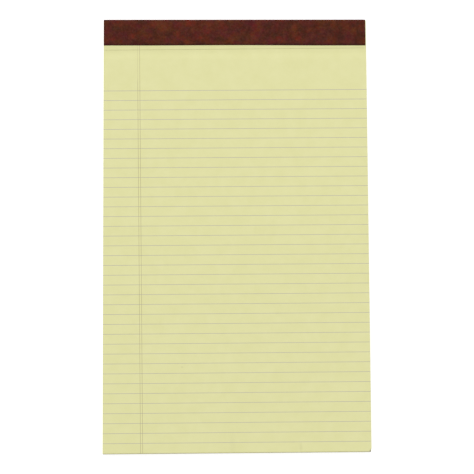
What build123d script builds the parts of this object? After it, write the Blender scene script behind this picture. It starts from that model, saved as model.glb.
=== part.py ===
from build123d import *
from math import radians, tan
import os

os.makedirs("parts", exist_ok=True)

# A legal-size writing pad, lying flat. +Y points to its bound head, +Z is up, and the origin is
# under the middle of the pad, on the surface it lies on. All sizes are in millimetres.

# Whole pad
pad_width = 215.9
pad_length = 355.6
head_corner_radius = 1.2
foot_corner_radius = 0.7
foot_out_of_square = 0.22

# Sheets of ruled paper. The knife drew the top one back from the bottom one as it cut the foot,
# and the corner at the right of the foot is worn off, most on the top sheet.
sheet_count = 50
sheet_pitch = 0.1
squeeze = 0.4
knife_draw = 0.5
worn_past_board = 0.5
worn_more_at_top = 1.1
worn_corner_radius = 0.8

# Tear-off perforation, a little out of square with the sheets
perforation_below_tape = 3.15
perforation_skew = 0.45
slit_length = 1.6
slit_tie = 0.8
slit_width = 0.18

# Swell of the squeezed sheets to their loose height, below the perforation
swell_below_perforation = 2.2
swell_length = 7.2

# Chipboard back
board_thickness = 0.76

# Binding tape, a strip of leatherette paper folded over the head
tape_thickness = 0.15
tape_front_flap = 21.7
tape_back_flap = 19.0
tape_fold_radius = 0.4
tape_short_of_right_edge = 0.45

# Wire staples, hidden under the tape
staple_count = 4
staple_from_head = 10.0
staple_crown = 12.7
staple_tip_gap = 3.6
wire_thickness = 0.5
wire_width = 0.7
wire_inner_bend = 0.3
wire_clearance = 0.03

# Levels above the surface that the pad lies on
loose_top = board_thickness + sheet_count * sheet_pitch
squeezed_top = loose_top - squeeze

# Lines across the pad, from its head to its foot
head = pad_length / 2
block_head = head - tape_thickness
staple_line = head - staple_from_head
back_flap_edge = head - tape_back_flap
front_flap_edge = head - tape_front_flap
perforation_line = front_flap_edge - perforation_below_tape
swell_start = perforation_line - swell_below_perforation
swell_end = swell_start - swell_length
foot = -pad_length / 2
half_width = pad_width / 2
foot_rise = pad_width * tan(radians(foot_out_of_square))

# Outline of the pad from above. Its foot rises to the right, and both right corners are bumped.
head_right = (half_width, head)
foot_right = (half_width, foot + foot_rise)

with BuildSketch() as pad_outline:
    with BuildLine():
        Polyline((-half_width, head), (-half_width, foot), foot_right, head_right, close=True)
    make_face()
    fillet(pad_outline.vertices().sort_by_distance(head_right)[0], radius=head_corner_radius)
    fillet(pad_outline.vertices().sort_by_distance(foot_right)[0], radius=foot_corner_radius)

# Leaning planes that end the sheets at the foot and at the worn corner, where the board shows
sheet_height = loose_top - board_thickness
along_foot = Vector(pad_width, foot_rise, 0)
up_foot = Vector(0, knife_draw, sheet_height)
foot_plane = Plane((-half_width, foot, board_thickness), z_dir=up_foot.cross(along_foot))

worn_corner = foot_corner_radius + worn_past_board
along_corner = Vector(1, 1, 0)
up_corner = Vector(-worn_more_at_top, 0, sheet_height)
worn_start = (half_width, foot + foot_rise + worn_corner, board_thickness)
worn_plane = Plane(worn_start, z_dir=up_corner.cross(along_corner))

# Section of the sheets and the board together. The underside is pressed in by the thickness of
# the tape where its back flap lies, and the top swells in two arcs below the perforation.
with BuildSketch(Plane.YZ) as block_section:
    with BuildLine():
        Polyline(
            (swell_end, loose_top),
            (foot, loose_top),
            (foot, 0),
            (back_flap_edge, 0),
            (back_flap_edge, tape_thickness),
            (block_head, tape_thickness),
            (block_head, squeezed_top),
            (swell_start, squeezed_top),
        )
        swell_middle = ((swell_start + swell_end) / 2, (squeezed_top + loose_top) / 2)
        TangentArc((swell_start, squeezed_top), swell_middle, tangent=(-1, 0))
        TangentArc((swell_end, loose_top), swell_middle, tangent=(1, 0))
    make_face()
    fillet(block_section.vertices().group_by(Axis.X)[-1], radius=tape_fold_radius)

# Line of the wire in a staple at the middle of the head: along one clinched end, up the leg,
# along the crown, down the other leg and back along its clinched end
leg = (staple_crown - wire_thickness) / 2
tip = staple_tip_gap / 2
crown_level = squeezed_top - wire_thickness / 2
clinch_level = tape_thickness + wire_thickness / 2

with BuildLine(Plane.XZ.offset(-staple_line)) as wire_line:
    FilletPolyline(
        (-tip, clinch_level),
        (-leg, clinch_level),
        (-leg, crown_level),
        (leg, crown_level),
        (leg, clinch_level),
        (tip, clinch_level),
        radius=wire_inner_bend + wire_thickness / 2,
    )

wire_end = Plane(wire_line.line @ 0, x_dir=(0, 1, 0), z_dir=wire_line.line % 0)
staple_places = GridLocations(pad_width / staple_count, 0, staple_count, 1)

with BuildPart() as staple:
    with BuildSketch(wire_end):
        Rectangle(wire_width, wire_thickness)
    sweep(path=wire_line.line)

# Channel that a staple presses into the paper and the board, open above the crown and below the
# clinched ends
channel_gap = 2 * wire_clearance

with BuildPart() as staple_channel:
    with BuildSketch(wire_end):
        Rectangle(wire_width + channel_gap, wire_thickness + channel_gap)
    sweep(path=wire_line.line)

# Row of slits that runs off both edges of the sheets
slit_pitch = slit_length + slit_tie
slit_count = int(pad_width / slit_pitch) + 2

with BuildSketch(Plane((0, perforation_line, 0)).rotated((0, 0, perforation_skew))) as slits:
    with GridLocations(slit_pitch, 0, slit_count, 1):
        Rectangle(slit_length, slit_width)

with BuildPart() as sheets:
    extrude(block_section.sketch, amount=half_width, both=True)
    split(bisect_by=Plane.XY.offset(board_thickness), keep=Keep.TOP)
    extrude(pad_outline.sketch, amount=loose_top, mode=Mode.INTERSECT)
    split(bisect_by=foot_plane, keep=Keep.TOP)
    split(bisect_by=worn_plane, keep=Keep.TOP)
    worn_face = sheets.faces().filter_by(worn_plane)[0]
    fillet(worn_face.edges().group_by(Axis.Z)[1], radius=worn_corner_radius)
    extrude(slits.sketch, amount=loose_top, mode=Mode.SUBTRACT)
    with staple_places:
        add(staple_channel.part, mode=Mode.SUBTRACT)

with BuildPart() as chipboard_back:
    extrude(block_section.sketch, amount=half_width, both=True)
    split(bisect_by=Plane.XY.offset(board_thickness), keep=Keep.BOTTOM)
    extrude(pad_outline.sketch, amount=loose_top, mode=Mode.INTERSECT)
    with staple_places:
        add(staple_channel.part, mode=Mode.SUBTRACT)

# The tape runs back from the edge of its front flap, round the block and under the board
tape_middle = -tape_short_of_right_edge / 2

with BuildPart() as binding_tape:
    with BuildSketch(Plane.YZ.offset(tape_middle)):
        with BuildLine():
            FilletPolyline(
                (front_flap_edge, squeezed_top),
                (block_head, squeezed_top),
                (block_head, tape_thickness),
                (back_flap_edge, tape_thickness),
                radius=tape_fold_radius,
            )
            offset(amount=tape_thickness, side=Side.LEFT)
        make_face()
    extrude(amount=(pad_width - tape_short_of_right_edge) / 2, both=True)
    extrude(pad_outline.sketch, amount=loose_top, mode=Mode.INTERSECT)

with BuildPart() as wire_staples:
    with staple_places:
        add(staple.part)

sheets.part.label = "sheets"
export_step(sheets.part, "parts/sheets.step")

chipboard_back.part.label = "chipboard_back"
export_step(chipboard_back.part, "parts/chipboard_back.step")

binding_tape.part.label = "binding_tape"
export_step(binding_tape.part, "parts/binding_tape.step")

wire_staples.part.label = "wire_staples"
export_step(wire_staples.part, "parts/wire_staples.step")
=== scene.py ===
import math
import bmesh
import bpy
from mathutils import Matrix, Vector


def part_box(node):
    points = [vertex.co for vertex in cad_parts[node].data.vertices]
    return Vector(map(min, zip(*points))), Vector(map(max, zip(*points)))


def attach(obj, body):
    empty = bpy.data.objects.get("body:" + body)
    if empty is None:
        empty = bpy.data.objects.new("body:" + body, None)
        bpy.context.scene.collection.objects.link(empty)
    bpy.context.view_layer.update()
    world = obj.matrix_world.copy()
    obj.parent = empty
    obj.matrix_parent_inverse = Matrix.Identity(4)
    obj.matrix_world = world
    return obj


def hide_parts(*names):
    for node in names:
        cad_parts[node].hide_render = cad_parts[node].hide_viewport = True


# Legal pad: canary leaves on a grey chipboard, stapled at the head and bound with a leatherette tape.
# Lengths are in metres, written as millimetres times mm.
mm = 0.001

print("legal pad: load the packed frame")
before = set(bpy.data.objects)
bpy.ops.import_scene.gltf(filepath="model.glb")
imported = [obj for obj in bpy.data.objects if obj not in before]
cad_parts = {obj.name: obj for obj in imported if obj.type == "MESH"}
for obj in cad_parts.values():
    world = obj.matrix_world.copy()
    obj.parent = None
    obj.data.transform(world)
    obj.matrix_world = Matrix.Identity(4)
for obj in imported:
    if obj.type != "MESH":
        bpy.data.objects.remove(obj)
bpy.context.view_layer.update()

sheetsLow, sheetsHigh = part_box("sheets")
tapeLow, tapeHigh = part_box("binding_tape")
staplesLow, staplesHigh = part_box("wire_staples")

halfWidth = sheetsHigh.x
foot = sheetsLow.y
blockHead = sheetsHigh.y  # where the leaves end, inside the tape
boardTop = sheetsLow.z
looseTop = sheetsHigh.z  # the top leaf away from the binding
squeezedTop = staplesHigh.z  # the top leaf under the tape, flush with the staple crowns
stapleLine = (staplesLow.y + staplesHigh.y) / 2
stapleCount = 4
onCut = 1e-8  # points nearer to a cut than this lie on it


# Small helpers

def linear(hexColour):
    def channel(pair):
        value = int(pair, 16) / 255
        return value / 12.92 if value <= 0.04045 else ((value + 0.055) / 1.055) ** 2.4
    digits = hexColour.lstrip("#")
    return tuple(channel(digits[i:i + 2]) for i in (0, 2, 4)) + (1.0,)


def setInputs(tree, node, inputs):
    # A node among the values stands for its first output.
    for key, value in inputs.items():
        if isinstance(value, bpy.types.Node):
            value = value.outputs[0]
        if isinstance(value, bpy.types.NodeSocket):
            tree.links.new(value, node.inputs[key])
        else:
            node.inputs[key].default_value = value


def addNode(tree, kind, inputs=None, **settings):
    node = tree.nodes.new(kind)
    for name, value in settings.items():
        setattr(node, name, value)
    setInputs(tree, node, inputs or {})
    return node


def clearedTree(owner):
    owner.use_nodes = True
    owner.node_tree.nodes.clear()
    return owner.node_tree


def newObject(name, data):
    made = bpy.data.objects.new(name, data)
    bpy.context.scene.collection.objects.link(made)
    return made


def meshFromBmesh(name, bm):
    mesh = bpy.data.meshes.new(name)
    bm.to_mesh(mesh)
    bm.free()
    return mesh


def smoothByAngle(mesh, degrees):
    mesh.polygons.foreach_set("use_smooth", [True] * len(mesh.polygons))
    mesh.set_sharp_from_angle(angle=math.radians(degrees))
    mesh.update()


def startTree(name, inputs):
    tree = bpy.data.node_groups.new(name, "GeometryNodeTree")
    tree.interface.new_socket("Geometry", in_out="INPUT", socket_type="NodeSocketGeometry")
    for label, kind in inputs.items():
        tree.interface.new_socket(label, in_out="INPUT", socket_type="NodeSocket" + kind)
    tree.interface.new_socket("Geometry", in_out="OUTPUT", socket_type="NodeSocketGeometry")
    return tree, addNode(tree, "NodeGroupInput").outputs


def growMesh(piece, tree, values):
    # Sets the tree's inputs before its first evaluation, and keeps the result as a plain mesh.
    modifier = piece.modifiers.new(tree.name, "NODES")
    modifier.node_group = tree
    for item in tree.interface.items_tree:
        if item.in_out == "INPUT" and item.name in values:
            modifier[item.identifier] = values[item.name]
    bpy.context.view_layer.update()
    grown = piece.evaluated_get(bpy.context.evaluated_depsgraph_get())
    mesh = bpy.data.meshes.new_from_object(grown)
    mesh.name = piece.name
    piece.modifiers.remove(modifier)
    piece.data = mesh


def rowOfCopies(tree, copy, count, pitch):
    # A row of copies along X, centred on the origin.
    gaps = addNode(tree, "ShaderNodeMath", {0: count, 1: 1.0}, operation="SUBTRACT")
    start = addNode(tree, "ShaderNodeMath", {0: gaps, 1: pitch}, operation="MULTIPLY")
    half = addNode(tree, "ShaderNodeMath", {0: start, 1: -0.5}, operation="MULTIPLY")
    first = addNode(tree, "ShaderNodeCombineXYZ", {"X": half})
    step = addNode(tree, "ShaderNodeCombineXYZ", {"X": pitch})
    line = addNode(tree, "GeometryNodeMeshLine", {
        "Count": count, "Start Location": first, "Offset": step}, mode="OFFSET")
    return addNode(tree, "GeometryNodeInstanceOnPoints", {"Points": line, "Instance": copy})


# Materials

def startMaterial(name):
    material = bpy.data.materials.new(name)
    tree = clearedTree(material)
    shader = addNode(tree, "ShaderNodeBsdfPrincipled")
    output = addNode(tree, "ShaderNodeOutputMaterial", {"Surface": shader})
    output.is_active_output = True
    return material, tree, shader


def objectPlace(tree, turn=0.0, stretch=(1.0, 1.0, 1.0)):
    place = addNode(tree, "ShaderNodeTexCoord")
    return addNode(tree, "ShaderNodeMapping", {
        "Vector": place.outputs["Object"], "Rotation": (0.0, 0.0, turn), "Scale": stretch})


def noiseOf(tree, place, grain, detail=2.0, roughness=0.5, low=0.3, high=0.7):
    # Noise whose patches are about one grain across, spread to run from 0 to 1.
    noise = addNode(tree, "ShaderNodeTexNoise", {
        "Vector": place, "Scale": 1 / grain, "Detail": detail, "Roughness": roughness})
    return addNode(tree, "ShaderNodeMapRange", {
        "Value": noise.outputs["Fac"], "From Min": low, "From Max": high})


def mixColours(tree, share, first, second):
    return addNode(tree, "ShaderNodeMix", {0: share, 6: first, 7: second}, data_type="RGBA").outputs[2]


def finishMaterial(tree, shader, look, colour, roughness, height):
    # look gives the gloss, and the depth and strength of the relief.
    depth, strength = look["relief"]
    bump = addNode(tree, "ShaderNodeBump", {"Height": height, "Distance": depth, "Strength": strength})
    setInputs(tree, shader, {
        "Base Color": colour, "Roughness": roughness, "Specular IOR Level": look["gloss"], "Normal": bump})


canaryPaper = {
    "colour": "#e4e2aa",
    "cloud": "#e1dfa5",      # the slightly denser clouds of fibre
    "cloudSize": 9 * mm,
    "fibreSize": 0.5 * mm,   # real fibres are finer, and would not show
    "relief": (0.004 * mm, 1.0),  # depth and strength
    "roughness": 0.85,
    "gloss": 0.25,
}

ruling = {
    "count": 37,
    "pitch": 7.985 * mm,
    "first": 118.53 * mm,    # the top rule, from the middle of the pad
    "width": 0.28 * mm,
    "softness": 0.03 * mm,
    "turn": math.radians(0.27),
    "ink": "#a49bac",
    "fadeSize": 2.5 * mm,    # length of the lighter and darker stretches of a line
    "faintest": 0.88,        # share of ink in the lightest of them
    "marginFirst": -78.92 * mm,
    "marginSecond": -77.21 * mm,
    "marginWidth": 0.28 * mm,
    "marginTurn": math.radians(0.46),
    "marginInk": "#ada279",
    "headInk": (0.4, 0.8),   # shares of it in the head margin, of the left and the right line
    "headFade": (-1.4, -0.8),  # where they fade, in pitches below the top rule
}

perforation = {
    "line": 152.95 * mm,     # from the middle of the pad
    "skew": math.radians(0.45),
    "slitLength": 1.6 * mm,
    "slitTie": 0.8 * mm,
    "slitWidth": 0.18 * mm,
}

# Painted shade along the perforation and up to the tape, drawn into the paper's colour.
slitShade = {
    "colour": "#b0ab78",
    "above": 0.1,            # its share from the slits up to the tape
    "below": 0.07,           # its share just below the slits
    "change": 0.2 * mm,      # to either side of the slits, from the one share to the other
    "fade": 4.5 * mm,        # how far below the slits it ends
}

speckAndCreaseShade = {
    "colour": "#7a7550",
    "marks": (               # a speck, and the painted shade of two soft creases that run off at the foot
        {"middle": (-44.1 * mm, -108.3 * mm), "reach": (1.1 * mm, 1.1 * mm), "share": 0.15},
        {"middle": (-3.9 * mm, -170.0 * mm), "reach": (4.0 * mm, 13.0 * mm), "share": 0.05},
        {"middle": (51.2 * mm, -173.0 * mm), "reach": (2.0 * mm, 5.5 * mm), "share": 0.1},
    ),
}


def lineOfInk(tree, distance, width):
    # 1 on the ink and 0 off it, with an edge as soft as the paper makes it.
    edge = ruling["softness"]
    return addNode(tree, "ShaderNodeMapRange", {
        "Value": distance, "From Min": width / 2 - edge, "From Max": width / 2 + edge,
        "To Min": 1.0, "To Max": 0.0})


def ruledPaper():
    # Uncoated wood-free writing paper, dyed in the pulp: matte, with soft clouds of denser fibre.
    material, tree, shader = startMaterial("ruled_canary_paper")
    place = objectPlace(tree)
    clouds = noiseOf(tree, place, canaryPaper["cloudSize"], detail=3.0)
    fibres = noiseOf(tree, place, canaryPaper["fibreSize"])
    paper = mixColours(tree, clouds, linear(canaryPaper["colour"]), linear(canaryPaper["cloud"]))

    # Painted shade: the paper is darker evenly from the slits up to the tape, and fades out below the
    # slits, standing in for the shade where the sheet bends at the perforation and rises into the binding.
    askew = addNode(tree, "ShaderNodeSeparateXYZ", {"Vector": objectPlace(tree, -perforation["skew"])})
    overSlits = addNode(tree, "ShaderNodeMath", {
        0: askew.outputs["Y"], 1: perforation["line"]}, operation="SUBTRACT")
    faded = addNode(tree, "ShaderNodeMapRange", {
        "Value": overSlits, "From Min": -slitShade["fade"], "From Max": 0.0, "To Max": slitShade["below"]})
    pressed = addNode(tree, "ShaderNodeMapRange", {
        "Value": overSlits, "From Min": -slitShade["change"], "From Max": slitShade["change"],
        "To Max": slitShade["above"] - slitShade["below"]})
    # The painted shade's share: the step at the slits added to the fade below them.
    slitShadeShare = addNode(tree, "ShaderNodeMath", {0: faded, 1: pressed}, operation="ADD")
    paper = mixColours(tree, slitShadeShare, paper, linear(slitShade["colour"]))

    # Rules: the distance to the nearest whole number of pitches below the top rule.
    turned = addNode(tree, "ShaderNodeSeparateXYZ", {"Vector": objectPlace(tree, -ruling["turn"])})
    pitches = addNode(tree, "ShaderNodeMapRange", {
        "Value": turned.outputs["Y"], "From Min": ruling["first"],
        "From Max": ruling["first"] - ruling["pitch"]}, clamp=False)
    nearest = addNode(tree, "ShaderNodeMath", {0: pitches, 1: 0.5}, operation="PINGPONG")
    away = addNode(tree, "ShaderNodeMath", {0: nearest, 1: ruling["pitch"]}, operation="MULTIPLY")
    rules = lineOfInk(tree, away, ruling["width"])
    middle = (ruling["count"] - 1) / 2
    inRange = addNode(tree, "ShaderNodeMath", {0: pitches, 1: middle, 2: middle + 0.5}, operation="COMPARE")
    ruled = addNode(tree, "ShaderNodeMath", {0: rules, 1: inRange}, operation="MULTIPLY")

    # Double margin line, a little more askew than the rules.
    across = addNode(tree, "ShaderNodeSeparateXYZ", {"Vector": objectPlace(tree, -ruling["marginTurn"])})
    halfGap = (ruling["marginSecond"] - ruling["marginFirst"]) / 2
    fromMiddle = addNode(tree, "ShaderNodeMath", {
        0: across.outputs["X"], 1: ruling["marginFirst"] + halfGap}, operation="SUBTRACT")
    eitherSide = addNode(tree, "ShaderNodeMath", {0: fromMiddle}, operation="ABSOLUTE")
    fromLine = addNode(tree, "ShaderNodeMath", {0: eitherSide, 1: halfGap}, operation="SUBTRACT")
    apart = addNode(tree, "ShaderNodeMath", {0: fromLine}, operation="ABSOLUTE")
    margins = lineOfInk(tree, apart, ruling["marginWidth"])

    # In the head margin its two lines print fainter, the left one most.
    headInk = addNode(tree, "ShaderNodeMapRange", {
        "Value": fromMiddle, "From Min": -halfGap / 2, "From Max": halfGap / 2,
        "To Min": ruling["headInk"][0], "To Max": ruling["headInk"][1]})
    marginInk = addNode(tree, "ShaderNodeMapRange", {
        "Value": pitches, "From Min": ruling["headFade"][0], "From Max": ruling["headFade"][1],
        "To Min": headInk, "To Max": 1.0})
    inked = addNode(tree, "ShaderNodeMath", {0: margins, 1: marginInk}, operation="MULTIPLY")

    # The ink prints a little unevenly along each line.
    uneven = noiseOf(tree, place, ruling["fadeSize"], detail=3.0)
    density = addNode(tree, "ShaderNodeMapRange", {
        "Value": uneven, "To Min": ruling["faintest"], "To Max": 1.0})
    ruleShare = addNode(tree, "ShaderNodeMath", {0: ruled, 1: density}, operation="MULTIPLY")
    marginShare = addNode(tree, "ShaderNodeMath", {0: inked, 1: density}, operation="MULTIPLY")
    withRules = mixColours(tree, ruleShare, paper, linear(ruling["ink"]))
    colour = mixColours(tree, marginShare, withRules, linear(ruling["marginInk"]))

    # The speck and the painted crease shade lie over paper and lines alike.
    # Each one darkens the colour smoothly towards its middle; for the two creases this is painted shade.
    for mark in speckAndCreaseShade["marks"]:
        (x, y), (reachX, reachY) = mark["middle"], mark["reach"]
        fromMark = addNode(tree, "ShaderNodeVectorMath", {0: place, 1: (x, y, 0.0)}, operation="SUBTRACT")
        inReaches = addNode(tree, "ShaderNodeVectorMath", {
            0: fromMark, 1: (1 / reachX, 1 / reachY, 0.0)}, operation="MULTIPLY")
        far = addNode(tree, "ShaderNodeVectorMath", {0: inReaches}, operation="LENGTH")
        share = addNode(tree, "ShaderNodeMapRange", {
            "Value": far.outputs["Value"], "To Min": mark["share"], "To Max": 0.0},
            interpolation_type="SMOOTHSTEP")
        colour = mixColours(tree, share, colour, linear(speckAndCreaseShade["colour"]))
    finishMaterial(tree, shader, canaryPaper, colour, canaryPaper["roughness"], fibres)
    return material


cutEdges = {
    "colour": "#e0ddb0",
    "darkLeaf": "#d3d0a4",   # tone of the leaves that stand back a little
    "leafShare": 0.8,        # how near the darkest leaf comes to it
    "knifeMark": 0.35 * mm,  # spacing of the guillotine's marks across the leaves
    "knifeStretch": 0.05,    # the marks run down the leaves
    "knifeShare": 0.2,
    "relief": (0.01 * mm, 0.5),
    "gloss": canaryPaper["gloss"],
}


def cutPaper():
    # The same paper seen on its cut edges: each leaf has a tone of its own, crossed by faint knife marks.
    material, tree, shader = startMaterial("cut_canary_paper")
    tone = addNode(tree, "ShaderNodeAttribute", attribute_name="leafTone")
    spread = addNode(tree, "ShaderNodeMapRange", {
        "Value": tone.outputs["Fac"], "To Max": cutEdges["leafShare"]})
    down = objectPlace(tree, stretch=(1.0, 1.0, cutEdges["knifeStretch"]))
    marks = noiseOf(tree, down, cutEdges["knifeMark"])
    share = addNode(tree, "ShaderNodeMapRange", {"Value": marks, "To Max": cutEdges["knifeShare"]})
    both = addNode(tree, "ShaderNodeMath", {0: spread, 1: share}, operation="ADD")
    colour = mixColours(tree, both, linear(cutEdges["colour"]), linear(cutEdges["darkLeaf"]))
    finishMaterial(tree, shader, cutEdges, colour, canaryPaper["roughness"], marks)
    return material


leatherette = {
    "brown": "#4e1a08",
    "patches": (             # red, tan, plum and dark: colour, shift of the pattern and largest share
        ("#732313", 0.0, 0.85),
        ("#66330f", 0.17, 0.75),
        ("#551521", 0.31, 0.75),
        ("#351804", 0.43, 0.7),
    ),
    "patchSize": 8.0 * mm,
    "rubbed": "#6c4d41",     # the film, dulled by handling
    "rubbedShare": 0.25,
    "flecks": 1.5 * mm,
    "pebble": 1.1 * mm,      # width of one embossed pebble
    "pebbleRound": 0.35,     # how much of it is rounded off at its edge
    "creaseShadeTone": 0.82,          # painted shade: tone of the creases between pebbles
    "relief": (0.035 * mm, 0.8),
    "roughness": (0.5, 0.66),
    "gloss": 0.08,
    "edgeWidth": 2.3 * mm,   # of the painted shade along the front edge
    "edgeShade": 0.38,
}


def leatherettePaper():
    # Coated paper embossed between rollers to look like leather: mottled browns under a satin film.
    material, tree, shader = startMaterial("embossed_leatherette_paper")
    place = objectPlace(tree)
    flecks = noiseOf(tree, place, leatherette["flecks"], detail=3.0, roughness=0.65, low=0.42, high=0.72)
    colour = linear(leatherette["brown"])
    for patch, shift, most in leatherette["patches"]:
        moved = addNode(tree, "ShaderNodeVectorMath", {0: place, 1: (shift, shift, 0.0)}, operation="ADD")
        patches = noiseOf(
            tree, moved, leatherette["patchSize"], detail=5.0, roughness=0.7, low=0.43, high=0.63)
        share = addNode(tree, "ShaderNodeMapRange", {"Value": patches, "To Max": most})
        colour = mixColours(tree, share, colour, linear(patch))
    fleckShare = addNode(tree, "ShaderNodeMapRange", {
        "Value": flecks, "To Max": leatherette["rubbedShare"]})
    colour = mixColours(tree, fleckShare, colour, linear(leatherette["rubbed"]))

    # Pebbles between creases, as on pressed leather: the pebbles get a bump, and the creases painted shade
    # in the colour.
    pebbles = addNode(tree, "ShaderNodeTexVoronoi", {
        "Vector": place, "Scale": 1 / leatherette["pebble"], "Randomness": 0.9}, feature="DISTANCE_TO_EDGE")
    domed = addNode(tree, "ShaderNodeMapRange", {
        "Value": pebbles.outputs["Distance"], "From Max": leatherette["pebbleRound"]},
        interpolation_type="SMOOTHSTEP")
    paintedCreaseShade = addNode(tree, "ShaderNodeMapRange", {
        "Value": domed, "To Min": leatherette["creaseShadeTone"], "To Max": 1.0})

    # Painted shade: the colour darkens towards the front edge.
    at = addNode(tree, "ShaderNodeSeparateXYZ", {"Vector": place})
    frontEdgeShade = addNode(tree, "ShaderNodeMapRange", {
        "Value": at.outputs["Y"], "From Min": tapeLow.y, "From Max": tapeLow.y + leatherette["edgeWidth"],
        "To Min": leatherette["edgeShade"], "To Max": 1.0})
    # The painted crease shade and the painted edge shade together scale the colour.
    shade = addNode(tree, "ShaderNodeMath", {0: paintedCreaseShade, 1: frontEdgeShade}, operation="MULTIPLY")
    shaded = addNode(tree, "ShaderNodeVectorMath", {0: colour, "Scale": shade}, operation="SCALE")
    rubbed = addNode(tree, "ShaderNodeMapRange", {
        "Value": flecks, "To Min": leatherette["roughness"][0], "To Max": leatherette["roughness"][1]})
    finishMaterial(tree, shader, leatherette, shaded, rubbed, domed)
    return material


chipboard = {
    "grey": "#a5a091",
    "pale": "#b3aea0",
    "dark": "#777266",
    "cloudSize": 11.7 * mm,
    "cloudShare": 0.15,
    "fleckSize": 1.3 * mm,
    "fleckShare": 0.6,
    "fibreSize": 0.35 * mm,
    "fibreStretch": 0.3,     # the fibres lie along the pad
    "relief": (0.03 * mm, 0.6),
    "roughness": 0.9,
    "gloss": 0.2,
}


def greyChipboard():
    # Unlined board pressed from mixed waste paper: matte grey, with long fibres and dark and pale flecks.
    material, tree, shader = startMaterial("grey_recycled_chipboard")
    place = objectPlace(tree)
    along = objectPlace(tree, stretch=(1.0, chipboard["fibreStretch"], 1.0))
    fibres = noiseOf(tree, along, chipboard["fibreSize"], detail=4.0, roughness=0.6)
    flecks = noiseOf(tree, place, chipboard["fleckSize"], detail=4.0, roughness=0.7, low=0.62, high=0.7)
    clouds = noiseOf(tree, place, chipboard["cloudSize"], detail=3.0)
    base = mixColours(tree, fibres, linear(chipboard["grey"]), linear(chipboard["pale"]))
    cloudShare = addNode(tree, "ShaderNodeMapRange", {"Value": clouds, "To Max": chipboard["cloudShare"]})
    clouded = mixColours(tree, cloudShare, base, linear(chipboard["dark"]))
    fleckShare = addNode(tree, "ShaderNodeMapRange", {"Value": flecks, "To Max": chipboard["fleckShare"]})
    colour = mixColours(tree, fleckShare, clouded, linear(chipboard["dark"]))
    finishMaterial(tree, shader, chipboard, colour, chipboard["roughness"], fibres)
    return material


stapleWire = {
    "zinc": "#c3c6ca",
    "dull": "#a3a7ac",
    "spangle": 0.6 * mm,
    "roughness": (0.28, 0.42),
}


def galvanisedWire():
    # Drawn steel wire with a thin zinc coat: bright grey metal, drawn smooth and slightly dulled.
    material, tree, shader = startMaterial("galvanised_steel_wire")
    spangles = noiseOf(tree, objectPlace(tree), stapleWire["spangle"])
    colour = mixColours(tree, spangles, linear(stapleWire["zinc"]), linear(stapleWire["dull"]))
    worn = addNode(tree, "ShaderNodeMapRange", {
        "Value": spangles, "To Min": stapleWire["roughness"][0], "To Max": stapleWire["roughness"][1]})
    setInputs(tree, shader, {"Base Color": colour, "Roughness": worn, "Metallic": 1.0})
    return material


# Leaves

leaf = {
    "count": 50,             # the ruled top leaf included
    "paperShare": 0.9,       # of each leaf's room, the rest is air
    "outOfSquare": math.radians(0.22),  # the foot rises a little towards its right end
    "wornCorner": 1.2 * mm,  # on the lowest leaf
    "wornRound": 0.8 * mm,
    "wornMore": 1.1 * mm,    # on the highest leaf, past the lowest
    "wornReach": 5.0 * mm,
    "headRound": 1.2 * mm,
    "headGap": 0.02 * mm,    # to the tape's inner side
    "arcSteps": 6,
    "sharpFrom": 30,         # degrees
}

swell = {
    "start": 150.75 * mm,    # nearest the binding
    "end": 143.55 * mm,      # where the leaves reach their loose height
    "rows": 16,
}

stapleHoles = {
    "pitch": 2 * halfWidth / stapleCount,
    "crown": 12.7 * mm,
    "wireThickness": 0.5 * mm,
    "wireWidth": 0.7 * mm,
    "clearance": 0.03 * mm,
    "crownLeaves": 6,        # the leaves that a crown presses through
}

handling = {
    "looseness": 0.06 * mm,  # how far a leaf strays to a side at the foot
    "trim": 0.08 * mm,       # how far a leaf falls short at the foot
    "draw": 0.5 * mm,        # how far the knife left the highest leaf short of the lowest
    "seed": 7,
}

leafPitch = (looseTop - boardTop) / leaf["count"]
leafThickness = leafPitch * leaf["paperShare"]
bendRadius = 0.4 * mm  # of the block's edges inside the tape


def arcPoints(centre, radius, fromDegrees, toDegrees):
    steps = leaf["arcSteps"]
    turns = [math.radians(fromDegrees + (toDegrees - fromDegrees) * i / steps) for i in range(steps + 1)]
    return [(centre[0] + radius * math.cos(a), centre[1] + radius * math.sin(a)) for a in turns]


def leafOutline():
    # Square at the left, worn at the right of the foot and bumped at the right of the head.
    cut, worn, bump = leaf["wornCorner"], leaf["wornRound"], leaf["headRound"]
    reach = worn * math.tan(math.radians(22.5))  # from a bend of 45 degrees to where its round starts
    leafHead = blockHead - leaf["headGap"]
    footRight = foot + 2 * halfWidth * math.tan(leaf["outOfSquare"])
    points = [(-halfWidth, foot)]
    points += arcPoints((halfWidth - cut - reach, footRight + worn), worn, -90, -45)
    points += arcPoints((halfWidth - worn, footRight + cut + reach), worn, -45, 0)
    points += arcPoints((halfWidth - bump, leafHead - bump), bump, 0, 90)
    points += [(-halfWidth, leafHead)]
    return points


def flatLeaf(name):
    # A slab of paper with rows of points across the swell, so that it can bend there.
    bm = bmesh.new()
    bm.faces.new([bm.verts.new((x, y, 0.0)) for x, y in leafOutline()])
    for i in range(swell["rows"] + 1):
        y = swell["end"] + (swell["start"] - swell["end"]) * i / swell["rows"]
        parts = bm.verts[:] + bm.edges[:] + bm.faces[:]
        bmesh.ops.bisect_plane(bm, geom=parts, dist=onCut, plane_co=(0, y, 0), plane_no=(0, 1, 0))
    bmesh.ops.recalc_face_normals(bm, faces=bm.faces[:])
    bmesh.ops.solidify(bm, geom=bm.faces[:], thickness=leafThickness)
    lowest = min(v.co.z for v in bm.verts)
    bmesh.ops.translate(bm, verts=bm.verts[:], vec=(0, 0, -lowest))
    bmesh.ops.recalc_face_normals(bm, faces=bm.faces[:])
    return newObject(name, meshFromBmesh(name, bm))


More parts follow.
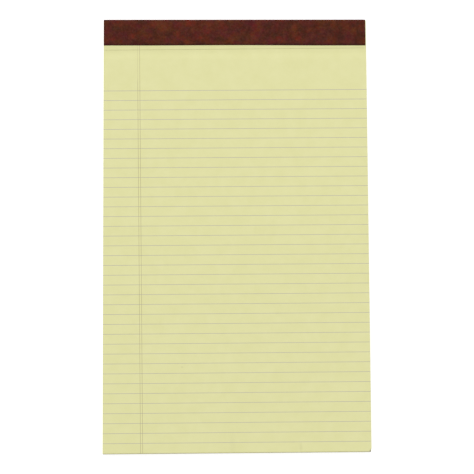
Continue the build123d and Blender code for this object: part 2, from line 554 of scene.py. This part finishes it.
def piercingTree():
    # Cuts a leaf's tear-off slits, and its staple holes or the slots of the staple crowns.
    tree, given = startTree("pierceLeaf", {
        "Row Line": "Float", "Row Skew": "Float", "Slit Length": "Float", "Slit Tie": "Float",
        "Slit Width": "Float", "Slit Count": "Int", "Staple Line": "Float", "Staple Count": "Int",
        "Staple Pitch": "Float", "Leg Spread": "Float", "Hole Length": "Float", "Hole Width": "Float",
        "Under Crown": "Bool", "Reach": "Float"})
    slitSize = addNode(tree, "ShaderNodeCombineXYZ", {
        "X": given["Slit Length"], "Y": given["Slit Width"], "Z": given["Reach"]})
    slit = addNode(tree, "GeometryNodeMeshCube", {"Size": slitSize})
    slitPitch = addNode(tree, "ShaderNodeMath", {0: given["Slit Length"], 1: given["Slit Tie"]})
    slits = rowOfCopies(tree, slit, given["Slit Count"], slitPitch)
    rowPlace = addNode(tree, "ShaderNodeCombineXYZ", {"Y": given["Row Line"]})
    rowTurn = addNode(tree, "ShaderNodeCombineXYZ", {"Z": given["Row Skew"]})
    slitRow = addNode(tree, "GeometryNodeTransform", {
        "Geometry": slits, "Translation": rowPlace, "Rotation": rowTurn})

    holeSize = addNode(tree, "ShaderNodeCombineXYZ", {
        "X": given["Hole Length"], "Y": given["Hole Width"], "Z": given["Reach"]})
    hole = addNode(tree, "GeometryNodeMeshCube", {"Size": holeSize})
    legs = rowOfCopies(tree, hole, 2, given["Leg Spread"])
    slotLength = addNode(tree, "ShaderNodeMath", {0: given["Leg Spread"], 1: given["Hole Length"]})
    slotSize = addNode(tree, "ShaderNodeCombineXYZ", {
        "X": slotLength, "Y": given["Hole Width"], "Z": given["Reach"]})
    slot = addNode(tree, "GeometryNodeMeshCube", {"Size": slotSize})
    cut = addNode(tree, "GeometryNodeSwitch", {
        "Switch": given["Under Crown"], "False": legs, "True": slot}, input_type="GEOMETRY")
    cuts = rowOfCopies(tree, cut, given["Staple Count"], given["Staple Pitch"])
    cutPlace = addNode(tree, "ShaderNodeCombineXYZ", {"Y": given["Staple Line"]})
    cutRow = addNode(tree, "GeometryNodeTransform", {"Geometry": cuts, "Translation": cutPlace})

    both = addNode(tree, "GeometryNodeJoinGeometry", {"Geometry": slitRow})
    setInputs(tree, both, {"Geometry": cutRow})
    cutters = addNode(tree, "GeometryNodeRealizeInstances", {"Geometry": both})
    pierced = addNode(tree, "GeometryNodeMeshBoolean", {
        "Mesh 1": given["Geometry"], "Mesh 2": cutters}, operation="DIFFERENCE", solver="EXACT")
    addNode(tree, "NodeGroupOutput", {"Geometry": pierced})
    return tree


def piercedLeaf(name, tree, underCrown):
    piece = flatLeaf(name)
    slitPitch = perforation["slitLength"] + perforation["slitTie"]
    gap = 2 * stapleHoles["clearance"]
    growMesh(piece, tree, {
        "Row Line": perforation["line"],
        "Row Skew": perforation["skew"],
        "Slit Length": perforation["slitLength"],
        "Slit Tie": perforation["slitTie"],
        "Slit Width": perforation["slitWidth"],
        "Slit Count": int(2 * halfWidth / slitPitch) + 2,
        "Staple Line": stapleLine,
        "Staple Count": stapleCount,
        "Staple Pitch": stapleHoles["pitch"],
        "Leg Spread": stapleHoles["crown"] - stapleHoles["wireThickness"],
        "Hole Length": stapleHoles["wireThickness"] + gap,
        "Hole Width": stapleHoles["wireWidth"] + gap,
        "Under Crown": underCrown,
        "Reach": 4 * leafPitch,  # well clear of both sides of the leaf
    })
    return piece


def bindingTree():
    # Piles leaves up from a level, presses them under the binding and lets them stray towards the foot.
    tree, given = startTree("bindLeaves", {
        "Leaf": "Object", "Crown Leaf": "Object", "Count": "Int", "Crown Leaves": "Int", "Level": "Float",
        "Pitch": "Float", "Board Level": "Float", "Squeeze Share": "Float", "Swell Start": "Float",
        "Swell End": "Float", "Staple Line": "Float", "Foot": "Float", "Half Width": "Float",
        "Looseness": "Float", "Trim": "Float", "Loose Level": "Float", "Draw": "Float",
        "Worn More": "Float", "Worn Reach": "Float", "Squeezed Level": "Float", "Block Head": "Float",
        "Bend Radius": "Float", "Seed": "Int", "Paper": "Material"})
    lowest = addNode(tree, "ShaderNodeCombineXYZ", {"Z": given["Level"]})
    step = addNode(tree, "ShaderNodeCombineXYZ", {"Z": given["Pitch"]})
    levels = addNode(tree, "GeometryNodeMeshLine", {
        "Count": given["Count"], "Start Location": lowest, "Offset": step}, mode="OFFSET")
    number = addNode(tree, "GeometryNodeInputIndex")
    firstCrown = addNode(tree, "ShaderNodeMath", {
        0: given["Count"], 1: given["Crown Leaves"]}, operation="SUBTRACT")
    below = addNode(tree, "FunctionNodeCompare", {
        "A": number, "B": firstCrown}, data_type="INT", operation="LESS_THAN")
    above = addNode(tree, "FunctionNodeBooleanMath", {0: below}, operation="NOT")
    piles = addNode(tree, "GeometryNodeJoinGeometry")
    for chosen, leafObject in ((below, given["Leaf"]), (above, given["Crown Leaf"])):
        shape = addNode(tree, "GeometryNodeObjectInfo", {"Object": leafObject})
        pile = addNode(tree, "GeometryNodeInstanceOnPoints", {
            "Points": levels, "Selection": chosen, "Instance": shape.outputs["Geometry"]})
        setInputs(tree, piles, {"Geometry": pile})

    # Each leaf carries its own tone and stray into its points.
    leafLevel = addNode(tree, "GeometryNodeInputPosition")
    levelParts = addNode(tree, "ShaderNodeSeparateXYZ", {"Vector": leafLevel})
    turned = addNode(tree, "ShaderNodeMath", {
        0: levelParts.outputs["Z"], 1: given["Pitch"]}, operation="DIVIDE")
    leafNumber = addNode(tree, "ShaderNodeMath", {0: turned}, operation="ROUND")
    stored = piles
    for offset, name in enumerate(("leafTone", "leafStray", "leafTrim")):
        seed = addNode(tree, "ShaderNodeMath", {0: given["Seed"], 1: float(offset)})
        chance = addNode(tree, "FunctionNodeRandomValue", {
            "ID": leafNumber, "Seed": seed}, data_type="FLOAT")
        stored = addNode(tree, "GeometryNodeStoreNamedAttribute", {
            "Geometry": stored, "Name": name, "Value": chance.outputs[1]},
            data_type="FLOAT", domain="INSTANCE")
    real = addNode(tree, "GeometryNodeRealizeInstances", {"Geometry": stored})

    place = addNode(tree, "GeometryNodeInputPosition")
    at = addNode(tree, "ShaderNodeSeparateXYZ", {"Vector": place})
    pressed = addNode(tree, "ShaderNodeMapRange", {
        "Value": at.outputs["Y"], "From Min": given["Swell End"], "From Max": given["Swell Start"],
        "To Max": given["Squeeze Share"]}, interpolation_type="SMOOTHSTEP")
    height = addNode(tree, "ShaderNodeMath", {
        0: at.outputs["Z"], 1: given["Board Level"]}, operation="SUBTRACT")
    lost = addNode(tree, "ShaderNodeMath", {0: height, 1: pressed}, operation="MULTIPLY")
    z = addNode(tree, "ShaderNodeMath", {0: at.outputs["Z"], 1: lost}, operation="SUBTRACT")

    # 0 at the staples, 1 at the foot.
    away = addNode(tree, "ShaderNodeMapRange", {
        "Value": at.outputs["Y"], "From Min": given["Staple Line"], "From Max": given["Foot"]})
    stray = addNode(tree, "GeometryNodeInputNamedAttribute", {"Name": "leafStray"}, data_type="FLOAT")
    signed = addNode(tree, "ShaderNodeMapRange", {"Value": stray, "To Min": -1.0, "To Max": 1.0})
    drift = addNode(tree, "ShaderNodeMath", {0: signed, 1: given["Looseness"]}, operation="MULTIPLY")
    inward = addNode(tree, "ShaderNodeMath", {
        0: at.outputs["X"], 1: given["Half Width"]}, operation="DIVIDE")
    narrowed = addNode(tree, "ShaderNodeMath", {0: inward, 1: given["Looseness"]}, operation="MULTIPLY")
    sideways = addNode(tree, "ShaderNodeMath", {0: drift, 1: narrowed}, operation="SUBTRACT")
    strayed = addNode(tree, "ShaderNodeMath", {
        0: sideways, 1: away, 2: at.outputs["X"]}, operation="MULTIPLY_ADD")
    short = addNode(tree, "GeometryNodeInputNamedAttribute", {"Name": "leafTrim"}, data_type="FLOAT")
    trimmed = addNode(tree, "ShaderNodeMath", {0: short, 1: given["Trim"]}, operation="MULTIPLY")
    levelShare = addNode(tree, "ShaderNodeMapRange", {
        "Value": at.outputs["Z"], "From Min": given["Board Level"], "From Max": given["Loose Level"]})
    shortened = addNode(tree, "ShaderNodeMath", {
        0: levelShare, 1: given["Draw"], 2: trimmed}, operation="MULTIPLY_ADD")
    pulled = addNode(tree, "ShaderNodeMath", {
        0: shortened, 1: away, 2: at.outputs["Y"]}, operation="MULTIPLY_ADD")

    # Wear at the right of the foot reaches further in on the higher leaves. The end of the worn edge
    # that lies on the foot slides left, and the end on the side slides towards the head.
    fromSide = addNode(tree, "ShaderNodeMath", {
        0: given["Half Width"], 1: at.outputs["X"]}, operation="SUBTRACT")
    fromFoot = addNode(tree, "ShaderNodeMath", {0: at.outputs["Y"], 1: given["Foot"]}, operation="SUBTRACT")
    further = addNode(tree, "ShaderNodeMath", {0: fromSide, 1: fromFoot}, operation="MAXIMUM")
    atCorner = addNode(tree, "ShaderNodeMath", {0: further, 1: given["Worn Reach"]}, operation="LESS_THAN")
    onFoot = addNode(tree, "ShaderNodeMath", {0: fromSide, 1: fromFoot}, operation="GREATER_THAN")
    onSide = addNode(tree, "ShaderNodeMath", {0: 1.0, 1: onFoot}, operation="SUBTRACT")
    wornBy = addNode(tree, "ShaderNodeMath", {0: levelShare, 1: given["Worn More"]}, operation="MULTIPLY")
    wornHere = addNode(tree, "ShaderNodeMath", {0: wornBy, 1: atCorner}, operation="MULTIPLY")
    wornLeft = addNode(tree, "ShaderNodeMath", {0: wornHere, 1: onFoot}, operation="MULTIPLY")
    x = addNode(tree, "ShaderNodeMath", {0: strayed, 1: wornLeft}, operation="SUBTRACT")
    worn = addNode(tree, "ShaderNodeMath", {0: wornHere, 1: onSide, 2: pulled}, operation="MULTIPLY_ADD")

    # The uppermost leaves end on the round of the bend inside the tape.
    depth = addNode(tree, "ShaderNodeMath", {0: given["Squeezed Level"], 1: z}, operation="SUBTRACT")
    rise = addNode(tree, "ShaderNodeMath", {0: given["Bend Radius"], 1: depth}, operation="SUBTRACT")
    riseKept = addNode(tree, "ShaderNodeMath", {0: rise, 1: 0.0}, operation="MAXIMUM")
    riseSquare = addNode(tree, "ShaderNodeMath", {0: riseKept, 1: riseKept}, operation="MULTIPLY")
    bendSquare = addNode(tree, "ShaderNodeMath", {
        0: given["Bend Radius"], 1: given["Bend Radius"]}, operation="MULTIPLY")
    run = addNode(tree, "ShaderNodeMath", {0: bendSquare, 1: riseSquare}, operation="SUBTRACT")
    runKept = addNode(tree, "ShaderNodeMath", {0: run, 1: 0.0}, operation="MAXIMUM")
    reach = addNode(tree, "ShaderNodeMath", {0: runKept}, operation="SQRT")
    bendMiddle = addNode(tree, "ShaderNodeMath", {
        0: given["Block Head"], 1: given["Bend Radius"]}, operation="SUBTRACT")
    limit = addNode(tree, "ShaderNodeMath", {0: bendMiddle, 1: reach})
    y = addNode(tree, "ShaderNodeMath", {0: worn, 1: limit}, operation="MINIMUM")

    bound = addNode(tree, "ShaderNodeCombineXYZ", {"X": x, "Y": y, "Z": z})
    moved = addNode(tree, "GeometryNodeSetPosition", {"Geometry": real, "Position": bound})
    dressed = addNode(tree, "GeometryNodeSetMaterial", {"Geometry": moved, "Material": given["Paper"]})
    addNode(tree, "NodeGroupOutput", {"Geometry": dressed})
    return tree


def boundLeaves(name, tree, plain, underCrown, firstLeaf, count, crownLeaves, looseness, paper):
    # looseness is 1 for leaves that stray as handling says, and 0 for one that doesn't.
    piece = newObject(name, bpy.data.meshes.new(name))
    growMesh(piece, tree, {
        "Leaf": plain,
        "Crown Leaf": underCrown,
        "Count": count,
        "Crown Leaves": crownLeaves,
        "Level": boardTop + (firstLeaf + 1) * leafPitch - leafThickness,
        "Pitch": leafPitch,
        "Board Level": boardTop,
        "Squeeze Share": (looseTop - squeezedTop) / (looseTop - boardTop),
        "Swell Start": swell["start"],
        "Swell End": swell["end"],
        "Staple Line": stapleLine,
        "Foot": foot,
        "Half Width": halfWidth,
        "Looseness": handling["looseness"] * looseness,
        "Trim": handling["trim"] * looseness,
        "Loose Level": looseTop,
        "Draw": handling["draw"],
        "Worn More": leaf["wornMore"],
        "Worn Reach": leaf["wornReach"],
        "Squeezed Level": squeezedTop,
        "Block Head": blockHead - leaf["headGap"],
        "Bend Radius": bendRadius,
        "Seed": handling["seed"],
        "Paper": paper,
    })
    smoothByAngle(piece.data, leaf["sharpFrom"])
    return piece


pileMap = {                  # start and height of the band of each side, and of the flats
    "left": (0.01, 0.24),
    "right": (0.27, 0.24),
    "foot": (0.53, 0.11),
    "head": (0.65, 0.11),
    "flats": (0.77, 0.23),
}


def pileBand(normal):
    if abs(normal.z) > 0.5:
        return "flats"
    if abs(normal.x) > 0.7:
        return "left" if normal.x < 0 else "right"
    return "foot" if normal.y < 0 else "head"


def layOutPile(mesh):
    # The pile's own layout for the bake: sides and flats lie one above the other, each as long as the map.
    layout = mesh.uv_layers.new(name="OFBake")
    length, width, height = blockHead - foot, 2 * halfWidth, looseTop - boardTop
    for face in mesh.polygons:
        band = pileBand(face.normal)
        low, tall = pileMap[band]
        for corner in face.loop_indices:
            point = mesh.vertices[mesh.loops[corner].vertex_index].co
            along = (point.y - foot) / length
            across = (point.x + halfWidth) / width
            up = (point.z - boardTop) / height
            run = across if band in ("foot", "head") else along
            layout.uv[corner].vector = (run, low + tall * (across if band == "flats" else up))


topLeafMap = {
    "strip": 6 * mm,         # width of the strip with the margin lines
    "widened": 3,            # times as wide as the rest
    "halves": (0.002, 0.502),  # where the foot's half and the head's half start
    "halfWide": 0.496,
    "upper": (0.03, 0.965),  # start and height of the band of each side
    "lower": (0.0, 0.02),
}


def layOutTopLeaf(mesh):
    # The top leaf's own layout for the bake: its halves stand side by side, so that each rule is thicker
    # than a pixel of the map, and the strip with the margin lines is widened for the same reason.
    length, strip, more = blockHead - foot, topLeafMap["strip"], topLeafMap["widened"] - 1
    middle = foot + length / 2
    left = (ruling["marginFirst"] + ruling["marginSecond"] - strip) / 2
    bm = bmesh.new()
    bm.from_mesh(mesh)
    cuts = (((0, middle, 0), (0, 1, 0)), ((left, 0, 0), (1, 0, 0)), ((left + strip, 0, 0), (1, 0, 0)))
    for place, direction in cuts:
        parts = bm.verts[:] + bm.edges[:] + bm.faces[:]
        bmesh.ops.bisect_plane(bm, geom=parts, dist=onCut, plane_co=place, plane_no=direction)
    bm.to_mesh(mesh)
    bm.free()
    layout = mesh.uv_layers.new(name="OFBake")
    for face in mesh.polygons:
        headHalf = face.center.y > middle
        start, side = middle if headHalf else foot, topLeafMap["halves"][headHalf]
        low, tall = topLeafMap["lower" if face.normal.z < -0.5 else "upper"]
        for corner in face.loop_indices:
            point = mesh.vertices[mesh.loops[corner].vertex_index].co
            across = point.x + halfWidth + more * min(max(point.x - left, 0), strip)
            share = across / (2 * halfWidth + more * strip)
            along = 2 * (point.y - start) / length
            layout.uv[corner].vector = (side + topLeafMap["halfWide"] * share, low + tall * along)


print("legal pad: cut and bind the leaves")
piercing = piercingTree()
looseLeaf = piercedLeaf("looseLeaf", piercing, False)
crownLeaf = piercedLeaf("crownLeaf", piercing, True)
binding = bindingTree()
topLeaf = boundLeaves(
    "ruled_top_leaf", binding, looseLeaf, crownLeaf, leaf["count"] - 1, 1, 1, 0.0, ruledPaper())
pile = boundLeaves(
    "leaves", binding, looseLeaf, crownLeaf, 0, leaf["count"] - 1, stapleHoles["crownLeaves"] - 1, 1.0,
    cutPaper())
layOutTopLeaf(topLeaf.data)
layOutPile(pile.data)
for spare in (looseLeaf, crownLeaf):
    bpy.data.objects.remove(spare)


# Binding tape

tape = {
    "thickness": tapeHigh.z - squeezedTop,
    "backFlap": 19.0 * mm,
    "cornerRound": 1.0 * mm,
    "cornerFade": 2.5 * mm,  # how far the rounded corner draws the tape with it
    "edgeRise": 0.24 * mm,   # the front edge bows towards the head in its middle
    "edgeReach": 0.7,        # and over this share of its half width to either side
    "edgeTilt": 0.075 * mm,  # its ends are out of square by this much
    "edgeDrop": 0.06 * mm,   # all of it lies this much lower
    "edgeFade": 5 * mm,      # width of the part of the front flap that is bowed with it
    "columnStep": 2.0 * mm,
    "rowStep": 2.0 * mm,
    "crownRows": 1.5 * mm,   # closer rows reach this far from the staple line
    "crownStep": 0.25 * mm,
    "evenRows": 1.8 * mm,    # and the even ones start this far from it
    "closest": 0.05 * mm,    # columns that are nearer to each other than this are one
    "bendSteps": 6,
    "sharpFrom": 40,         # degrees
    "mark": 0.05 * mm,       # height of the marks that the staple crowns leave
    "markFade": 1.0 * mm,
}


def spacedValues(low, high, step):
    count = max(1, round((high - low) / step))
    return [low + (high - low) * i / count for i in range(count + 1)]


def tapeColumns():
    # Even columns, with close ones at the ends of each staple and at the rounded corner.
    left, right = tapeLow.x, tapeHigh.x
    places = spacedValues(left, right, tape["columnStep"])
    halfCrown = stapleHoles["crown"] / 2
    for i in range(stapleCount):
        middle = (i - (stapleCount - 1) / 2) * stapleHoles["pitch"]
        for end in (middle - halfCrown, middle + halfCrown):
            places += spacedValues(end - tape["markFade"], end + tape["markFade"], tape["markFade"] / 4)
    places += spacedValues(right - tape["cornerRound"], right, tape["cornerRound"] / 8)
    apart = []
    for place in sorted(places):
        if not apart or place - apart[-1] > tape["closest"]:
            apart.append(place)
    return apart


def tapeRows():
    # Places along the inner side of the tape, from the front edge to the back one, with the outward
    # direction at each, as (y, z, outY, outZ).
    frontEdge, backEdge = tapeLow.y, tapeHigh.y - tape["backFlap"]
    innerHead, innerFoot = blockHead, tape["thickness"]
    straight = innerHead - bendRadius
    close, step = tape["crownRows"], tape["rowStep"]
    nearStaple = spacedValues(stapleLine - close, stapleLine + close, tape["crownStep"])
    even = [y for y in spacedValues(frontEdge, straight, step) if abs(y - stapleLine) > tape["evenRows"]]
    rows = [(y, squeezedTop, 0.0, 1.0) for y in sorted(even + nearStaple)]
    for corner, start in ((squeezedTop - bendRadius, 90), (innerFoot + bendRadius, 0)):
        for i in range(1, tape["bendSteps"] + 1):
            turn = math.radians(start - 90 * i / tape["bendSteps"])
            outY, outZ = math.cos(turn), math.sin(turn)
            rows.append((straight + bendRadius * outY, corner + bendRadius * outZ, outY, outZ))
        if start == 90:
            for z in spacedValues(squeezedTop - bendRadius, innerFoot + bendRadius, step)[1:]:
                rows.append((innerHead, z, 1.0, 0.0))
    rows += [(y, innerFoot, 0.0, -1.0) for y in spacedValues(backEdge, straight, step)[-2::-1]]
    return rows


def crownMark(x, y):
    # Height of the mark over the nearest staple crown.
    pitch = stapleHoles["pitch"]
    middle = (math.floor(x / pitch) + 0.5) * pitch
    overX = max(0.0, abs(x - middle) - stapleHoles["crown"] / 2)
    overY = max(0.0, abs(y - stapleLine) - stapleHoles["wireWidth"] / 2)
    share = max(0.0, 1 - math.hypot(overX, overY) / tape["markFade"])
    return tape["mark"] * share * share * (3 - 2 * share)


def tapePoint(x, row, outward):
    # The bow of the front edge, the rounded corner and the marks of the crowns, on the folded strip.
    y, z, outY, outZ = row
    onTop = outZ > 0.99
    side = x / halfWidth
    bowed = max(0.0, 1 - (y - tapeLow.y) / tape["edgeFade"]) if onTop else 0.0
    bow = (1 + math.cos(math.pi * min(1.0, abs(side) / tape["edgeReach"]))) / 2
    y += bowed * (tape["edgeRise"] * bow - tape["edgeTilt"] * side - tape["edgeDrop"])
    corner = tape["cornerRound"]
    into = max(0.0, x - (halfWidth - corner))
    setBack = corner - math.sqrt(max(0.0, corner * corner - into * into))
    y -= setBack * max(0.0, min(1.0, 1 - (blockHead - corner - y) / tape["cornerFade"]))
    if outward:
        lift = crownMark(x, y) if onTop else 0.0
        y += outY * tape["thickness"]
        z += outZ * (tape["thickness"] + lift)
    return (x, y, z)


def foldedTape():
    columns, rows = tapeColumns(), tapeRows()
    points = [tapePoint(x, row, outward) for outward in (True, False) for row in rows for x in columns]
    wide, deep = len(columns), len(rows)
    layer = wide * deep
    faces = []
    for r in range(deep - 1):
        for c in range(wide - 1):
            a = r * wide + c
            faces.append((a, a + 1, a + wide + 1, a + wide))
            faces.append((layer + a, layer + a + wide, layer + a + wide + 1, layer + a + 1))
    border = [(c, c + 1) for c in range(wide - 1)]
    border += [(r * wide + wide - 1, (r + 1) * wide + wide - 1) for r in range(deep - 1)]
    border += [((deep - 1) * wide + c + 1, (deep - 1) * wide + c) for c in reversed(range(wide - 1))]
    border += [((r + 1) * wide, r * wide) for r in reversed(range(deep - 1))]
    faces += [(b, a, layer + a, layer + b) for a, b in border]
    mesh = bpy.data.meshes.new("leatherette_tape")
    mesh.from_pydata(points, [], faces)
    layOutTape(mesh, columns, rows)
    return newObject("leatherette_tape", mesh)


tapeMap = {                  # start and height of the bands of the left and the right half
    "outer": ((0.12, 0.43), (0.56, 0.43)),
    "inner": ((0.0, 0.05), (0.06, 0.05)),
    "spare": 0.003,          # left free at each end of a band
}


def layOutTape(mesh, columns, rows):
    # The tape's own layout for the bake: unrolled, and cut in two at the middle of the pad. Its cut edges
    # take the outer side's colours.
    layout = mesh.uv_layers.new(name="OFBake")
    run = [0.0]
    for before, after in zip(rows, rows[1:]):
        run.append(run[-1] + math.hypot(after[0] - before[0], after[1] - before[1]))
    wide, layer = len(columns), len(columns) * len(rows)
    middle = sum(x < 0 for x in columns)
    spare = tapeMap["spare"]
    for face in mesh.polygons:
        numbers = [mesh.loops[corner].vertex_index for corner in face.loop_indices]
        right = min(number % layer % wide for number in numbers) >= middle
        first, last = (middle, wide - 1) if right else (0, middle)
        low, tall = tapeMap["outer" if min(numbers) < layer else "inner"][right]
        for corner, number in zip(face.loop_indices, numbers):
            across = (columns[number % layer % wide] - columns[first]) / (columns[last] - columns[first])
            down = run[number % layer // wide] / run[-1]
            layout.uv[corner].vector = (spare + (1 - 2 * spare) * across, low + tall * down)


print("legal pad: fold the binding tape")
tapePiece = foldedTape()
tapePiece.data.materials.append(leatherettePaper())
smoothByAngle(tapePiece.data, tape["sharpFrom"])


print("legal pad: finish the board and the staples")
for nodeName, material in (("chipboard_back", greyChipboard()), ("wire_staples", galvanisedWire())):
    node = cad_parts[nodeName]
    for materialSlot in node.material_slots:
        materialSlot.material = material

for piece in (topLeaf, pile, tapePiece):
    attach(piece, "root")
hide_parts("sheets")
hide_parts("sheets")
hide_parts("binding_tape")


# Studio

studio = {
    "floorSize": 6.0,
    "floor": "#f2f2f2",
    "floorDrop": 0.02 * mm,  # clear of the underside of the pad
    "floorGlow": 0.5,        # for the camera alone, so that the floor reads as white paper
    "skyLight": 0.66,
    "keyPower": 200.0,       # watts
    "keySize": 2.4,
    "keyPlace": (-1.2, 5.0, 4.8),
    "fillPower": 3.0,
    "fillSize": 1.2,
    "fillPlace": (1.4, 0.1, 1.8),
}


def seenDirectly(tree):
    # 1 for what the camera sees, straight or by way of a reflection or a clear material.
    path = addNode(tree, "ShaderNodeLightPath")
    first = addNode(tree, "ShaderNodeMath", {
        0: path.outputs["Is Camera Ray"], 1: path.outputs["Is Glossy Ray"]}, operation="MAXIMUM")
    return addNode(tree, "ShaderNodeMath", {
        0: first, 1: path.outputs["Is Transmission Ray"]}, operation="MAXIMUM")


def paperFloor():
    # A sheet of white background paper. The glow lifts it to white, and a shadow still shows on it.
    material = bpy.data.materials.new("white_backdrop_paper")
    tree = clearedTree(material)
    matte = addNode(tree, "ShaderNodeBsdfDiffuse", {"Color": linear(studio["floor"])})
    strength = addNode(tree, "ShaderNodeMath", {
        0: seenDirectly(tree), 1: studio["floorGlow"]}, operation="MULTIPLY")
    glow = addNode(tree, "ShaderNodeEmission", {"Strength": strength})
    both = addNode(tree, "ShaderNodeAddShader", {0: matte, 1: glow})
    addNode(tree, "ShaderNodeOutputMaterial", {"Surface": both})
    half = studio["floorSize"] / 2
    mesh = bpy.data.meshes.new("floor")
    corners = [(-half, -half, 0), (half, -half, 0), (half, half, 0), (-half, half, 0)]
    mesh.from_pydata(corners, [], [(0, 1, 2, 3)])
    mesh.materials.append(material)
    floor = newObject("floor", mesh)
    floor.location.z = -studio["floorDrop"]


def whiteRoom():
    world = bpy.data.worlds.new("white_room")
    bpy.context.scene.world = world
    tree = clearedTree(world)
    strength = addNode(tree, "ShaderNodeMapRange", {
        "Value": seenDirectly(tree), "To Min": studio["skyLight"], "To Max": 1.0})
    sky = addNode(tree, "ShaderNodeBackground", {"Color": (1.0, 1.0, 1.0, 1.0), "Strength": strength})
    addNode(tree, "ShaderNodeOutputWorld", {"Surface": sky})


def softLamp(name, place, power, size):
    lamp = bpy.data.lights.new(name, "AREA")
    lamp.shape = "DISK"
    lamp.size = size
    lamp.energy = power
    holder = newObject(name, lamp)
    holder.location = place
    holder.rotation_euler = (-Vector(place)).to_track_quat("-Z", "Y").to_euler()


view = {
    "target": (0.76 * mm, -2.77 * mm),   # where the line of sight meets the top leaf
    "distance": 1625.6 * mm,
    "azimuth": math.radians(-9.38),
    "elevation": math.radians(82.942),
    "roll": math.radians(0.313),
    "lens": 151.9,           # millimetres, on a sensor 36 mm wide
    "sensor": 36.0,
    "farthest": 20.0,
}


def placeCamera():
    azimuth, elevation, roll = view["azimuth"], view["elevation"], view["roll"]
    back = Vector((
        math.sin(azimuth) * math.cos(elevation),
        -math.cos(azimuth) * math.cos(elevation),
        math.sin(elevation)))
    level = (Vector((0, 1, 0)) - back * back.y).normalized()
    up = level * math.cos(roll) + level.cross(back) * math.sin(roll)
    right = up.cross(back)
    camera = bpy.data.cameras.new("camera")
    camera.lens = view["lens"]
    camera.sensor_width = view["sensor"]
    camera.clip_end = view["farthest"]
    holder = newObject("camera", camera)
    place = Vector((*view["target"], looseTop)) + back * view["distance"]
    turned = holder.matrix_world.copy()
    for row, values in enumerate(zip(right, up, back, place)):
        turned[row] = values
    holder.matrix_world = turned
    bpy.context.scene.camera = holder


print("legal pad: light and camera")
paperFloor()
whiteRoom()
softLamp("key", studio["keyPlace"], studio["keyPower"], studio["keySize"])
softLamp("fill", studio["fillPlace"], studio["fillPower"], studio["fillSize"])
placeCamera()
bpy.context.scene.view_settings.view_transform = "Standard"

print("legal pad: finished")
